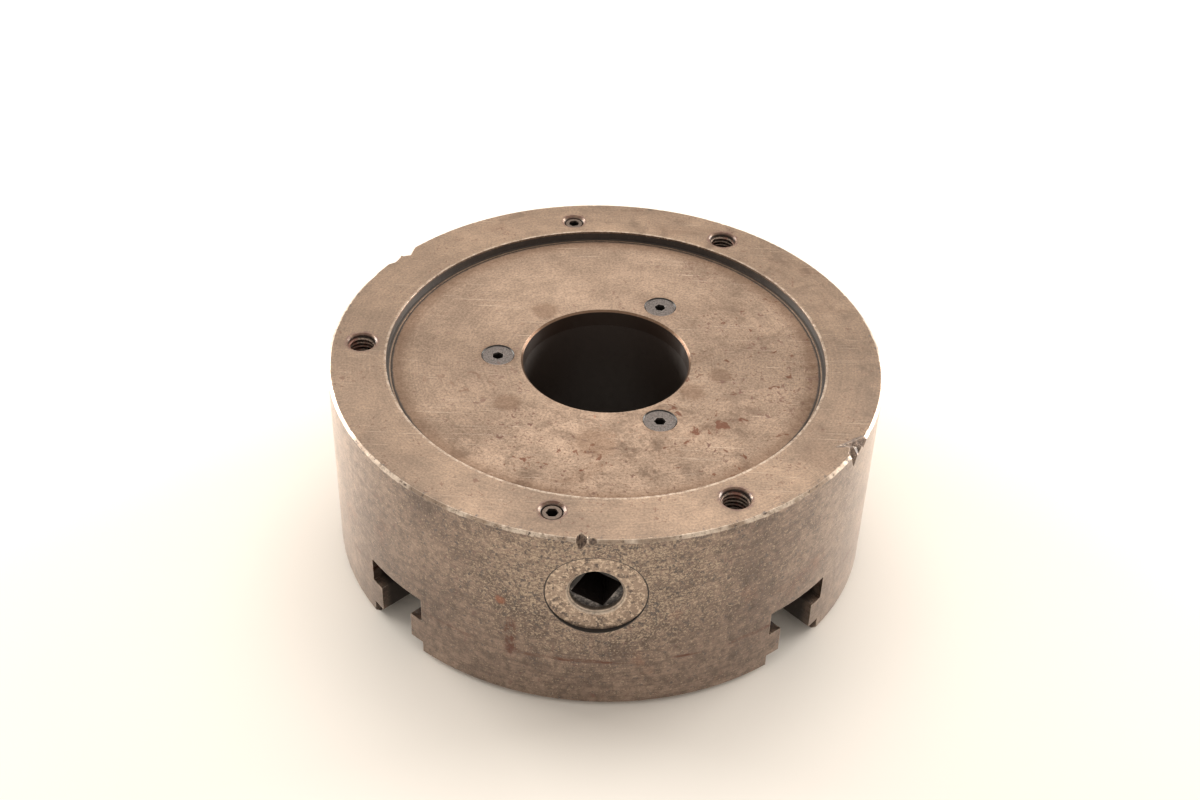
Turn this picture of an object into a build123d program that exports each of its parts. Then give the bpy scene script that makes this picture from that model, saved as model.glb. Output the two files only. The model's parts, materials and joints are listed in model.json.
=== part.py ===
from build123d import *
import os
from math import acos, cos, pi, radians, sin, sqrt, tan

# Self-centring scroll chuck with four base jaws and two key pinions.
# Origin: centre of the front face. +Z runs from the front face to the back face.
# Lengths are in millimetres and angles in degrees, counter-clockwise from +X about +Z.

# Chuck body
body_radius = 80.0
body_height = 62.0
front_chamfer = 1.5
back_chamfer = 0.7
bore_radius = 24.2
register_radius = 63.5
register_depth = 2.8
cavity_radius = 61.5
cavity_floor = 17.0
hub_radius = 38.0
running_gap = 0.09
cut_overrun = 1.0

# Back plate and its screws
plate_top = body_height - register_depth
plate_radius = 62.2
plate_pocket_radius = 62.3
flange_thickness = 2.0
flange_bottom = plate_top - flange_thickness
hub_top = plate_top - 5.5
boss_outer_radius = 43.0
boss_clearance = 0.15
boss_inner_radius = hub_radius + boss_clearance
journal_notch_clearance = 0.4
plate_bore_chamfer = 0.6
screw_circle = 31.5
screw_angles = (180, 60, -60)
plate_screw_radius = 2.45
plate_screw_end = hub_top - 9.0
plate_tap_clearance = 0.05
plate_tap_runout = 2.0
countersink_radius = 4.8
plate_hole_radius = 2.75
screw_head_radius = 4.45
head_seat_gap = 0.05
screw_hex_flats = 3.0
screw_hex_depth = 2.2

# Tapped holes in the back rim
mount_circle = 71.0
mount_angles = (180, 60, -60)
mount_hole_radius = 4.0
mount_hole_depth = 18.0
mount_countersink_radius = 4.45

# Jaw slots: a wide mouth, a narrow web gap between two rails, and a wide undercut
jaw_angles = (45, 135, 225, 315)
slot_half_width = 10.9
web_gap_half_width = 6.5
rail_bottom = 5.2
rail_top = 13.6
slot_roof = 21.8

# Base jaws
jaw_gap = 0.1
jaw_inner_end = 24.9
jaw_length = 41.8
jaw_tip_half_width = 0.8
jaw_front = 0.3
jaw_back = cavity_floor - 0.1
jaw_screw_radius = 3.4
jaw_screw_depth = 12.0
jaw_key_width = 8.0
jaw_key_depth = 2.5
jaw_key_position = 0.55
jaw_screw_spacing = 21.0
first_tooth_margin = 2.5
last_tooth_margin = 2.2

# Scroll: spiral ridge on the front, bevel teeth on the back
spiral_pitch = 7.0
ridge_thickness = 3.2
jaw_tooth_thickness = 3.2
ridge_bottom = cavity_floor + 0.2
ridge_top = slot_roof + 0.1
ridge_end_margin = 0.3
ridge_weld = 0.3
jaw_tooth_top = slot_roof - 0.2
scroll_outer_radius = 60.5
scroll_inner_radius = hub_radius + running_gap
scroll_hub_radius = 43.4
scroll_hub_top = 36.8
spiral_start_angle = -60.0
spiral_steps = 64
mean_spiral_radius = 49.0

# Bevel gearing: both pitch cones meet on the Z axis at the height of the pinions
pinion_height = 42.4
pinion_angles = {"front": -90, "back": 90}
scroll_teeth = 55
pinion_teeth = 11
gear_outer_reach = 56.0
gear_inner_reach = 44.0
scroll_tooth_start = scroll_hub_radius - 0.4
gear_module = 2 * gear_outer_reach / scroll_teeth
pressure_angle = radians(20)
scroll_addendum = 0.6 * gear_module
scroll_dedendum = 0.95 * gear_module
pinion_addendum = 0.8 * gear_module
pinion_dedendum = 0.75 * gear_module
tooth_backlash = 0.165
gear_step_radius = 56.6
gear_step_height = 28.4
tooth_foot_overlap = 0.5

# Pinions
pinion_bore_radius = 13.6
pinion_bore_start = cavity_radius - 4.0
pinion_head_radius = pinion_bore_radius - running_gap
pinion_head_start = 58.0
pinion_face = 78.85
pinion_neck_radius = 9.3
journal_radius = 4.92
journal_bore_radius = journal_radius + running_gap
journal_start = 30.8
journal_bore_start = 30.0
notch_start = hub_radius - 2.0
notch_half_width = journal_radius + journal_notch_clearance
socket_square = 10.0
socket_mouth_radius = 7.1
socket_mouth_depth = 2.2
socket_depth = 15.0
socket_chamfer = 0.8
socket_turn = -30.0

# Retaining screws: each one's dog point sits in a groove beside the pinion's neck
retainer_offset = -12.2
retainer_reach = 69.0
retainer_radius = 2.95
retainer_hole_radius = 3.0
retainer_countersink_radius = 3.7
retainer_top = body_height - 0.8
retainer_thread_end = 52.8
dog_radius = 2.0
dog_end = 35.0
retainer_hole_end = 34.0
groove_half_width = 2.4
retainer_hex_flats = 3.0
retainer_hex_depth = 3.5
retainer_chamfer = 0.4

# Chips in the back rim, as (outline above the back face, lowest point). An outline is a chain of
# (reach, angle) points that starts and ends outside the outer wall.
chip_top = body_height + 0.5
rim_chips = (
    # Front notch: steep on the left, with a step on its right
    (((83.0, -94.9), (77.9, -93.9), (76.9, -93.2), (78.2, -91.9), (83.0, -91.1)), (80.9, -93.3, 57.3)),
    (((83.0, -92.9), (78.8, -91.9), (78.3, -90.8), (79.6, -89.4), (83.0, -88.5)), (80.9, -91.1, 59.1)),
    # Right gouge: a narrow groove that runs inwards, over a wide shallow bite and a deep one
    (((84.0, -20.0), (75.2, -31.1), (77.3, -31.3), (84.0, -24.5)), (80.8, -26.2, 59.2)),
    (((84.0, -23.5), (78.2, -28.6), (78.5, -32.2), (84.0, -35.0)), (81.0, -29.5, 58.3)),
    (((84.0, -26.5), (77.6, -30.2), (78.4, -32.2), (84.0, -34.0)), (80.8, -31.2, 54.8)),
    # Back-left flakes along the edge
    (((84.0, 138.6), (78.9, 140.6), (76.8, 143.5), (78.4, 145.2), (84.0, 146.0)), (80.9, 143.0, 57.0)),
    (((84.0, 143.0), (78.5, 145.4), (78.0, 148.0), (79.2, 149.8), (84.0, 151.6)), (80.9, 147.5, 58.2)),
    (((84.0, 147.6), (78.9, 150.8), (78.7, 156.0), (79.3, 160.0), (84.0, 164.5)), (80.9, 155.5, 59.9)),
)


def radial_plane(angle, reach=0.0, height=0.0):
    """Plane square to a radius: local Z points outward and local Y points up."""
    outward = (cos(radians(angle)), sin(radians(angle)))
    return Plane(
        origin=(reach * outward[0], reach * outward[1], height),
        x_dir=(-outward[1], outward[0], 0),
        z_dir=(outward[0], outward[1], 0),
    )


def polar_point(radius, angle):
    """Point on a circle about the chuck's axis."""
    return (radius * cos(radians(angle)), radius * sin(radians(angle)))


def slot_section(clearance):
    """Cross-section of a jaw slot, from below the front face to the roof of the undercut."""
    wide = 2 * (slot_half_width - clearance)
    with Locations((0, -cut_overrun)):
        Rectangle(wide, rail_bottom + cut_overrun, align=(Align.CENTER, Align.MIN))
    Rectangle(2 * (web_gap_half_width - clearance), slot_roof, align=(Align.CENTER, Align.MIN))
    with Locations((0, rail_top)):
        Rectangle(wide, slot_roof - rail_top, align=(Align.CENTER, Align.MIN))


# Chuck body: a turned solid with the register, the scroll cavity and the central hub
with BuildPart() as chuck_body:
    with BuildSketch(Plane.XZ):
        with BuildLine():
            Polyline(
                (bore_radius, 0),
                (body_radius - front_chamfer, 0),
                (body_radius, front_chamfer),
                (body_radius, body_height - back_chamfer),
                (body_radius - back_chamfer, body_height),
                (register_radius, body_height),
                (register_radius, plate_top),
                (plate_pocket_radius, plate_top),
                (plate_pocket_radius, flange_bottom),
                (cavity_radius, flange_bottom),
                (cavity_radius, cavity_floor),
                (hub_radius, cavity_floor),
                (hub_radius, hub_top),
                (bore_radius, hub_top),
                close=True,
            )
        make_face()
    revolve(axis=Axis.Z)

    # Jaw slots, open at the front face, at the rim and at the bore
    for jaw_angle in jaw_angles:
        with BuildSketch(radial_plane(jaw_angle)):
            slot_section(0)
        extrude(amount=body_radius + cut_overrun, mode=Mode.SUBTRACT)

    # Pinion bores through the wall, and the journal bores in line with them in the hub
    for pinion_angle in pinion_angles.values():
        with BuildSketch(radial_plane(pinion_angle, pinion_bore_start, pinion_height)):
            Circle(pinion_bore_radius)
        extrude(amount=body_radius - pinion_bore_start + cut_overrun, mode=Mode.SUBTRACT)
        with BuildSketch(radial_plane(pinion_angle, journal_bore_start, pinion_height)):
            Circle(journal_bore_radius)
        extrude(amount=hub_radius - journal_bore_start + cut_overrun, mode=Mode.SUBTRACT)

    # Tapped mounting holes, countersunk at the back rim
    with BuildSketch(Plane.XY.offset(body_height - mount_hole_depth)):
        with Locations([polar_point(mount_circle, a) for a in mount_angles]):
            Circle(mount_hole_radius)
    extrude(amount=mount_hole_depth, mode=Mode.SUBTRACT)
    mount_mouths = chuck_body.edges().filter_by(GeomType.CIRCLE).filter_by(
        lambda e: abs(e.radius - mount_hole_radius) < 0.01 and e.center().Z > body_height - 0.1
    )
    chamfer(mount_mouths, mount_countersink_radius - mount_hole_radius)

    # Retaining-screw holes, which cross the pinion bores beside the pinions' necks
    with BuildSketch(Plane.XY.offset(retainer_hole_end)):
        with Locations((retainer_offset, -retainer_reach), (retainer_offset, retainer_reach)):
            Circle(retainer_hole_radius)
    extrude(amount=body_height - retainer_hole_end, mode=Mode.SUBTRACT)
    retainer_mouths = chuck_body.edges().filter_by(GeomType.CIRCLE).filter_by(
        lambda e: abs(e.radius - retainer_hole_radius) < 0.01 and e.center().Z > body_height - 0.1
    )
    chamfer(retainer_mouths, retainer_countersink_radius - retainer_hole_radius)

    # Tapped holes in the hub for the back-plate screws
    with BuildSketch(Plane.XY.offset(plate_screw_end - plate_tap_runout)):
        with Locations([polar_point(screw_circle, a) for a in screw_angles]):
            Circle(plate_screw_radius + plate_tap_clearance)
    extrude(amount=hub_top - plate_screw_end + plate_tap_runout, mode=Mode.SUBTRACT)

    # Chips in the back rim
    for outline, (reach, angle, height) in rim_chips:
        rim = [Vector(*polar_point(*corner), chip_top) for corner in outline]
        lowest = Vector(*polar_point(reach, angle), height)
        sides = [Face(Wire.make_polygon([a, b, lowest])) for a, b in zip(rim, rim[1:] + rim[:1])]
        add(Solid(Shell([Face(Wire.make_polygon(rim)), *sides])), mode=Mode.SUBTRACT)
chuck_body.part.label = "chuck_body"
export_step(chuck_body.part, "parts/chuck_body.step")


# Back plate: a thin flange over the cavity, with a boss that keeps the scroll down
with BuildPart() as back_plate:
    with BuildSketch(Plane.XZ):
        with BuildLine():
            Polyline(
                (bore_radius, hub_top),
                (boss_inner_radius, hub_top),
                (boss_inner_radius, scroll_hub_top + boss_clearance),
                (boss_outer_radius, scroll_hub_top + boss_clearance),
                (boss_outer_radius, flange_bottom),
                (plate_radius, flange_bottom),
                (plate_radius, plate_top),
                (bore_radius + plate_bore_chamfer, plate_top),
                (bore_radius, plate_top - plate_bore_chamfer),
                close=True,
            )
        make_face()
    revolve(axis=Axis.Z)

    # Notches in the boss where the pinion journals pass through
    for pinion_angle in pinion_angles.values():
        with BuildSketch(radial_plane(pinion_angle, notch_start, scroll_hub_top)):
            Rectangle(
                2 * notch_half_width,
                pinion_height - scroll_hub_top + notch_half_width,
                align=(Align.CENTER, Align.MIN),
            )
        extrude(amount=boss_outer_radius - notch_start + cut_overrun, mode=Mode.SUBTRACT)

    # Countersunk screw holes
    with Locations(Plane.XY.offset(plate_top)):
        with Locations([polar_point(screw_circle, a) for a in screw_angles]):
            CounterSinkHole(plate_hole_radius, countersink_radius, depth=plate_top - hub_top + cut_overrun,
                            counter_sink_angle=90)
back_plate.part.label = "back_plate"
export_step(back_plate.part, "parts/back_plate.step")


def build_plate_screw(angle, hex_turn):
    """Countersunk hex-socket screw that holds the back plate to the hub."""
    center = polar_point(screw_circle, angle)
    head_top = plate_top - (countersink_radius - head_seat_gap - screw_head_radius)
    with BuildPart() as screw:
        with BuildSketch(Plane.XY.offset(plate_screw_end)):
            with Locations(center):
                Circle(plate_screw_radius)
        extrude(amount=head_top - plate_screw_end)
        with BuildSketch(Plane.XY.offset(head_top)):
            with Locations(center):
                Circle(screw_head_radius)
        extrude(amount=-(screw_head_radius - plate_screw_radius), taper=45)
        with BuildSketch(Plane.XY.offset(head_top)):
            with Locations(center):
                RegularPolygon(screw_hex_flats / 2, 6, major_radius=False, rotation=hex_turn)
        extrude(amount=-screw_hex_depth, mode=Mode.SUBTRACT)
    return screw.part


for number, screw_angle in enumerate(screw_angles, 1):
    plate_screw = build_plate_screw(screw_angle, 12 + 17 * number)
    plate_screw.label = f"back_plate_screw_{number}"
    export_step(plate_screw, f"parts/back_plate_screw_{number}.step")


def build_retainer(side, hex_turn):
    """Hex-socket grub screw with a long dog point beside the pinion's neck."""
    center = (retainer_offset, side * retainer_reach)
    with BuildPart() as retainer:
        with BuildSketch(Plane.XY.offset(retainer_thread_end)):
            with Locations(center):
                Circle(retainer_radius)
        extrude(amount=retainer_top - retainer_thread_end)
        chamfer(retainer.edges().group_by(Axis.Z)[-1], retainer_chamfer)
        with BuildSketch(Plane.XY.offset(dog_end)):
            with Locations(center):
                Circle(dog_radius)
        extrude(amount=retainer_thread_end - dog_end)
        with BuildSketch(Plane.XY.offset(retainer_top)):
            with Locations(center):
                RegularPolygon(retainer_hex_flats / 2, 6, major_radius=False, rotation=hex_turn)
        extrude(amount=-retainer_hex_depth, mode=Mode.SUBTRACT)
    return retainer.part


for place, side in (("front", -1), ("back", 1)):
    retainer_part = build_retainer(side, 10 + 8 * side)
    retainer_part.label = f"pinion_retaining_screw_{place}"
    export_step(retainer_part, f"parts/pinion_retaining_screw_{place}.step")


def spiral_radius(angle):
    """Outer flank of the scroll's ridge: it draws in by one pitch a turn, counter-clockwise."""
    return scroll_outer_radius - spiral_pitch * (angle - spiral_start_angle) / 360


# Scroll plate
ridge_end_angle = spiral_start_angle + 360 * (
    (scroll_outer_radius - ridge_thickness - scroll_inner_radius - ridge_end_margin) / spiral_pitch
)
spiral_angles = [
    spiral_start_angle + (ridge_end_angle - spiral_start_angle) * step / spiral_steps
    for step in range(spiral_steps + 1)
]
pitch_drop = gear_outer_reach * pinion_teeth / scroll_teeth
root_drop = pitch_drop + scroll_dedendum


def root_height(radius):
    """Height of the cone at the foot of the scroll's bevel teeth."""
    return pinion_height - root_drop * radius / gear_outer_reach


def scroll_tooth_section(scale):
    """One straight-sided bevel tooth, shrunk towards the point where the pitch cones meet."""
    half = pi * gear_module / 4 - tooth_backlash
    top = scroll_addendum - pitch_drop
    foot = -root_drop - tooth_foot_overlap
    top_half = half - scroll_addendum * tan(pressure_angle)
    foot_half = half + (scroll_dedendum + tooth_foot_overlap) * tan(pressure_angle)
    with BuildSketch() as section:
        with BuildLine():
            Polyline(
                (scale * top_half, scale * top),
                (-scale * top_half, scale * top),
                (-scale * foot_half, scale * foot),
                (scale * foot_half, scale * foot),
                close=True,
            )
        make_face()
    return section.sketch


with BuildPart() as scroll_tooth:
    # A tooth gap faces the front pinion, so a tooth stands half a pitch beside it
    tooth_angle = pinion_angles["front"] + 180 / scroll_teeth
    for reach in (scroll_tooth_start, gear_outer_reach):
        with BuildSketch(radial_plane(tooth_angle, reach, pinion_height)):
            add(scroll_tooth_section(reach / gear_outer_reach))
    loft(ruled=True)

with BuildPart() as scroll_plate:
    with BuildSketch(Plane.XZ):
        with BuildLine():
            Polyline(
                (scroll_inner_radius, ridge_top),
                (scroll_outer_radius, ridge_top),
                (scroll_outer_radius, gear_step_height),
                (gear_step_radius, gear_step_height),
                (gear_step_radius, root_height(gear_step_radius)),
                (scroll_hub_radius, root_height(scroll_hub_radius)),
                (scroll_hub_radius, scroll_hub_top),
                (scroll_inner_radius, scroll_hub_top),
                close=True,
            )
        make_face()
    revolve(axis=Axis.Z)

    # Spiral ridge that drives the jaws
    with BuildSketch(Plane.XY.offset(ridge_bottom)):
        with BuildLine():
            Spline([polar_point(spiral_radius(a), a) for a in spiral_angles])
            Spline([polar_point(spiral_radius(a) - ridge_thickness, a) for a in spiral_angles])
            Line(
                polar_point(spiral_radius(spiral_start_angle), spiral_start_angle),
                polar_point(spiral_radius(spiral_start_angle) - ridge_thickness, spiral_start_angle),
            )
            Line(
                polar_point(spiral_radius(ridge_end_angle), ridge_end_angle),
                polar_point(spiral_radius(ridge_end_angle) - ridge_thickness, ridge_end_angle),
            )
        make_face()
    extrude(amount=ridge_top - ridge_bottom + ridge_weld)

    # Bevel teeth
    with PolarLocations(0, scroll_teeth):
        add(scroll_tooth.part)
scroll_plate.part.label = "scroll_plate"
export_step(scroll_plate.part, "parts/scroll_plate.step")


def involute_half_angle(radius, pitch_radius):
    """Half the angle that a pinion tooth spans at a radius."""
    base_radius = pitch_radius * cos(pressure_angle)
    roll = acos(min(1.0, base_radius / radius))
    half_tooth = (pi * gear_module / 4 - tooth_backlash) / pitch_radius
    return half_tooth + tan(pressure_angle) - pressure_angle - (tan(roll) - roll)


def pinion_outline(scale, turn):
    """Toothed outline of the pinion, shrunk towards the point where the pitch cones meet."""
    pitch_radius = pitch_drop
    base_radius = pitch_radius * cos(pressure_angle)
    tip_radius = pitch_radius + pinion_addendum
    root_radius = pitch_radius - pinion_dedendum
    flank_radii = [base_radius + (tip_radius - base_radius) * step / 3 for step in range(4)]

    def flank_point(radius, side, tooth_turn):
        angle = tooth_turn + side * involute_half_angle(max(radius, base_radius), pitch_radius)
        return (scale * radius * cos(angle), scale * radius * sin(angle))

    with BuildSketch() as outline:
        with BuildLine():
            for tooth in range(pinion_teeth):
                middle = radians(turn) + 2 * pi * tooth / pinion_teeth
                following = middle + 2 * pi / pinion_teeth
                gap_middle = middle + pi / pinion_teeth
                Line(flank_point(root_radius, -1, middle), flank_point(base_radius, -1, middle))
                Spline([flank_point(radius, -1, middle) for radius in flank_radii])
                ThreePointArc(
                    flank_point(tip_radius, -1, middle),
                    (scale * tip_radius * cos(middle), scale * tip_radius * sin(middle)),
                    flank_point(tip_radius, 1, middle),
                )
                Spline([flank_point(radius, 1, middle) for radius in reversed(flank_radii)])
                Line(flank_point(base_radius, 1, middle), flank_point(root_radius, 1, middle))
                ThreePointArc(
                    flank_point(root_radius, 1, middle),
                    (scale * root_radius * cos(gap_middle), scale * root_radius * sin(gap_middle)),
                    flank_point(root_radius, -1, following),
                )
        make_face()
    return outline.sketch


def build_pinion(angle, tooth_turn):
    """Key pinion: journal, bevel teeth, neck, grooved head and square key socket."""
    with BuildPart() as pinion:
        for reach in (gear_inner_reach, gear_outer_reach):
            with BuildSketch(radial_plane(angle, reach, pinion_height)):
                add(pinion_outline(reach / gear_outer_reach, tooth_turn))
        loft(ruled=True)
        with BuildSketch(radial_plane(angle, journal_start, pinion_height)):
            Circle(journal_radius)
        extrude(amount=gear_inner_reach - journal_start)
        with BuildSketch(radial_plane(angle, gear_outer_reach, pinion_height)):
            Circle(pinion_neck_radius)
        extrude(amount=pinion_face - gear_outer_reach)
        groove_start = retainer_reach - groove_half_width
        groove_end = retainer_reach + groove_half_width
        for start, end in ((pinion_head_start, groove_start), (groove_end, pinion_face)):
            with BuildSketch(radial_plane(angle, start, pinion_height)):
                Circle(pinion_head_radius)
            extrude(amount=end - start)
        with BuildSketch(radial_plane(angle, pinion_face, pinion_height)):
            Rectangle(socket_square, socket_square, rotation=socket_turn)
        extrude(amount=-socket_depth, mode=Mode.SUBTRACT)
        with BuildSketch(radial_plane(angle, pinion_face, pinion_height)):
            Circle(socket_mouth_radius)
        extrude(amount=-socket_mouth_depth, mode=Mode.SUBTRACT)
        with BuildSketch(radial_plane(angle, pinion_face, pinion_height)):
            Circle(socket_mouth_radius + socket_chamfer)
        extrude(amount=-socket_chamfer, taper=45, mode=Mode.SUBTRACT)
    return pinion.part


# The scroll's tooth count is odd, so a gap faces the front pinion and a tooth the back one
for place, pinion_angle in pinion_angles.items():
    tooth_turn = -90 if place == "front" else -90 + 180 / pinion_teeth
    pinion_part = build_pinion(pinion_angle, tooth_turn)
    pinion_part.label = f"pinion_{place}"
    export_step(pinion_part, f"parts/pinion_{place}.step")


def flank_point_at(center, half_thickness, curve_radius, offset):
    """Point on a jaw tooth's flank: an arc of the given radius, leaning with the spiral."""
    lean = spiral_pitch / (2 * pi) * offset / mean_spiral_radius
    sag = curve_radius - sqrt(curve_radius**2 - offset**2)
    return (center + half_thickness - lean - sag, offset)


def jaw_plan():
    """Outline of a base jaw, seen along Z, with its wedge-shaped inner end."""
    half = slot_half_width - jaw_gap
    wedge_end = jaw_inner_end + half - jaw_tip_half_width
    outer_end = jaw_inner_end + jaw_length
    with BuildSketch() as plan:
        with BuildLine():
            Polyline(
                (jaw_inner_end, -jaw_tip_half_width),
                (wedge_end, -half),
                (outer_end, -half),
                (outer_end, half),
                (wedge_end, half),
                (jaw_inner_end, jaw_tip_half_width),
                close=True,
            )
        make_face()
    return plan.sketch


def jaw_tooth_plan(center):
    """A crescent tooth that clears the ridge from the spiral's inner end to its outer end."""
    half = jaw_tooth_thickness / 2
    reach = slot_half_width
    outer_flank = [flank_point_at(center, half, scroll_inner_radius, y) for y in (-reach, 0, reach)]
    inner_flank = [flank_point_at(center, -half, scroll_outer_radius, y) for y in (reach, 0, -reach)]
    with BuildSketch() as plan:
        with BuildLine():
            ThreePointArc(*outer_flank)
            Line(outer_flank[-1], inner_flank[0])
            ThreePointArc(*inner_flank)
            Line(inner_flank[-1], outer_flank[0])
        make_face()
    return plan.sketch


def build_base_jaw(angle):
    """Base jaw with side grooves for the rails, scroll teeth, and top-jaw fixings."""
    # Each gap centre lies half a gap outside the ridge's outer flank at this jaw's angle
    gap_center = spiral_radius(angle) + (spiral_pitch - ridge_thickness) / 2
    skipped_gaps = int((gap_center - jaw_inner_end - first_tooth_margin) / spiral_pitch)
    first_tooth = gap_center - spiral_pitch * skipped_gaps
    last_reach = jaw_inner_end + jaw_length - last_tooth_margin
    tooth_count = int((last_reach - first_tooth) / spiral_pitch) + 1
    with BuildPart() as jaw:
        with BuildSketch(Plane.XY.offset(jaw_front)):
            add(jaw_plan())
        extrude(amount=jaw_back - jaw_front)
        # Grooves along both sides, one for each rail of the slot
        with BuildSketch(Plane.YZ):
            with Locations((0, (rail_bottom + rail_top) / 2)):
                Rectangle(4 * slot_half_width, rail_top - rail_bottom + 2 * jaw_gap)
                Rectangle(2 * (web_gap_half_width - jaw_gap), 2 * slot_roof, mode=Mode.SUBTRACT)
        extrude(amount=body_radius, mode=Mode.SUBTRACT)
        with BuildSketch(Plane.XY.offset(jaw_back)):
            for tooth in range(tooth_count):
                add(jaw_tooth_plan(first_tooth + spiral_pitch * tooth))
            add(jaw_plan(), mode=Mode.INTERSECT)
        extrude(amount=jaw_tooth_top - jaw_back)
        # Top-jaw screws and the cross keyway between them, in the front face
        key_middle = jaw_inner_end + jaw_length * jaw_key_position
        with BuildSketch(Plane.XY.offset(jaw_front)):
            with Locations((key_middle, 0)):
                with GridLocations(jaw_screw_spacing, 0, 2, 1):
                    Circle(jaw_screw_radius)
        extrude(amount=jaw_screw_depth, mode=Mode.SUBTRACT)
        with BuildSketch(Plane.XY.offset(jaw_front)):
            with Locations((key_middle, 0)):
                Rectangle(jaw_key_width, 4 * slot_half_width)
        extrude(amount=jaw_key_depth, mode=Mode.SUBTRACT)
    return jaw.part.rotate(Axis.Z, angle)


for number, jaw_angle in enumerate(jaw_angles, 1):
    base_jaw = build_base_jaw(jaw_angle)
    base_jaw.label = f"base_jaw_{number}"
    export_step(base_jaw, f"parts/base_jaw_{number}.step")
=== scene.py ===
import json
from math import atan2, cos, degrees, hypot, pi, radians, sin

import bmesh
import bpy
from mathutils import Matrix, Vector


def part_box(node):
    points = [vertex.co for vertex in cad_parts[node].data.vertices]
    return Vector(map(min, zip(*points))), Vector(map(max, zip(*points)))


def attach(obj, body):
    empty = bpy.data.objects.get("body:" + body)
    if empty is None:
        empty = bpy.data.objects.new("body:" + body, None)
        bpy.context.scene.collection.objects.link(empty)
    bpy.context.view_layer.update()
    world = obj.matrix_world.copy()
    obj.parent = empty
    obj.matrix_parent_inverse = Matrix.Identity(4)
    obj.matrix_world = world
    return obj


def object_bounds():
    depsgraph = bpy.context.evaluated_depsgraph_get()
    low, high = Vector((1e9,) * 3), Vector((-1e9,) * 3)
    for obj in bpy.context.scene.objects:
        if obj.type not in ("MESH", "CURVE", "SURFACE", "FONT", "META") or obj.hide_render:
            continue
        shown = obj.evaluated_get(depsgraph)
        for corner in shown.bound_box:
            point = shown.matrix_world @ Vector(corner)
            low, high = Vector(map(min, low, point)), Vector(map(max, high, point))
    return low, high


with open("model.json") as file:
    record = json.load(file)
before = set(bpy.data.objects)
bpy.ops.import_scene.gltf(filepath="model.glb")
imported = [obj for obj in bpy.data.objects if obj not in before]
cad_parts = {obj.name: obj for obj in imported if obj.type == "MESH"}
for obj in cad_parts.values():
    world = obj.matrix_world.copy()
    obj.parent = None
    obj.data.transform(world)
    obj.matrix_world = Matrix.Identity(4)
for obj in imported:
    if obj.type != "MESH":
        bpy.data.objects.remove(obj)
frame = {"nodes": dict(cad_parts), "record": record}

cad_low, cad_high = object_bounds()
scene = bpy.context.scene
MM = 0.001

# Sizes that the materials and the added pieces need, read off the frame where it holds them
MOUNTS = {mount["name"]: mount for mount in frame["record"]["mounts"]}
BODY_RADIUS = cad_high.x / MM
BODY_HEIGHT = cad_high.z / MM
PLATE_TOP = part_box("back_plate")[1].z / MM
PLATE_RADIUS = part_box("back_plate")[1].x / MM
BORE_RADIUS = MOUNTS["spindle_bore"]["dims"]["r_mm"]
REGISTER_RADIUS = MOUNTS["register"]["dims"]["r_mm"]
PINION_FACE = -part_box("pinion_front")[0].y / MM
PINION_HEIGHT = MOUNTS["front_key_socket"]["pos_m"][2] / MM
PINION_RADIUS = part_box("pinion_front")[1].x / MM
HOLE_CIRCLE = MOUNTS["mounting_holes"]["dims"]["pcd_mm"] / 2
HOLE_ANGLES = (180, 60, -60)


def grub_place(node_name):
    """Centre of a retaining screw as a distance from the axis and an angle."""
    low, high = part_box(node_name)
    middle = (low + high) / 2 / MM
    return hypot(middle.x, middle.y), degrees(atan2(middle.y, middle.x)), (high.x - low.x) / 2 / MM


def screw_place(node_name):
    """Centre and head radius of a back-plate screw."""
    low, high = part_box(node_name)
    return (low.x + high.x) / 2 / MM, (low.y + high.y) / 2 / MM, (high.x - low.x) / 2 / MM


PLATE_SCREWS = [screw_place(f"back_plate_screw_{number}") for number in (1, 2, 3)]
GRUBS = [grub_place("pinion_retaining_screw_" + place) for place in ("front", "back")]
RIM_HOLES = [(HOLE_CIRCLE, MOUNTS["mounting_holes"]["dims"]["hole_r_mm"], HOLE_ANGLES)]
RIM_HOLES += [(reach, radius + 0.1, (angle,)) for reach, angle, radius in GRUBS]


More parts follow.
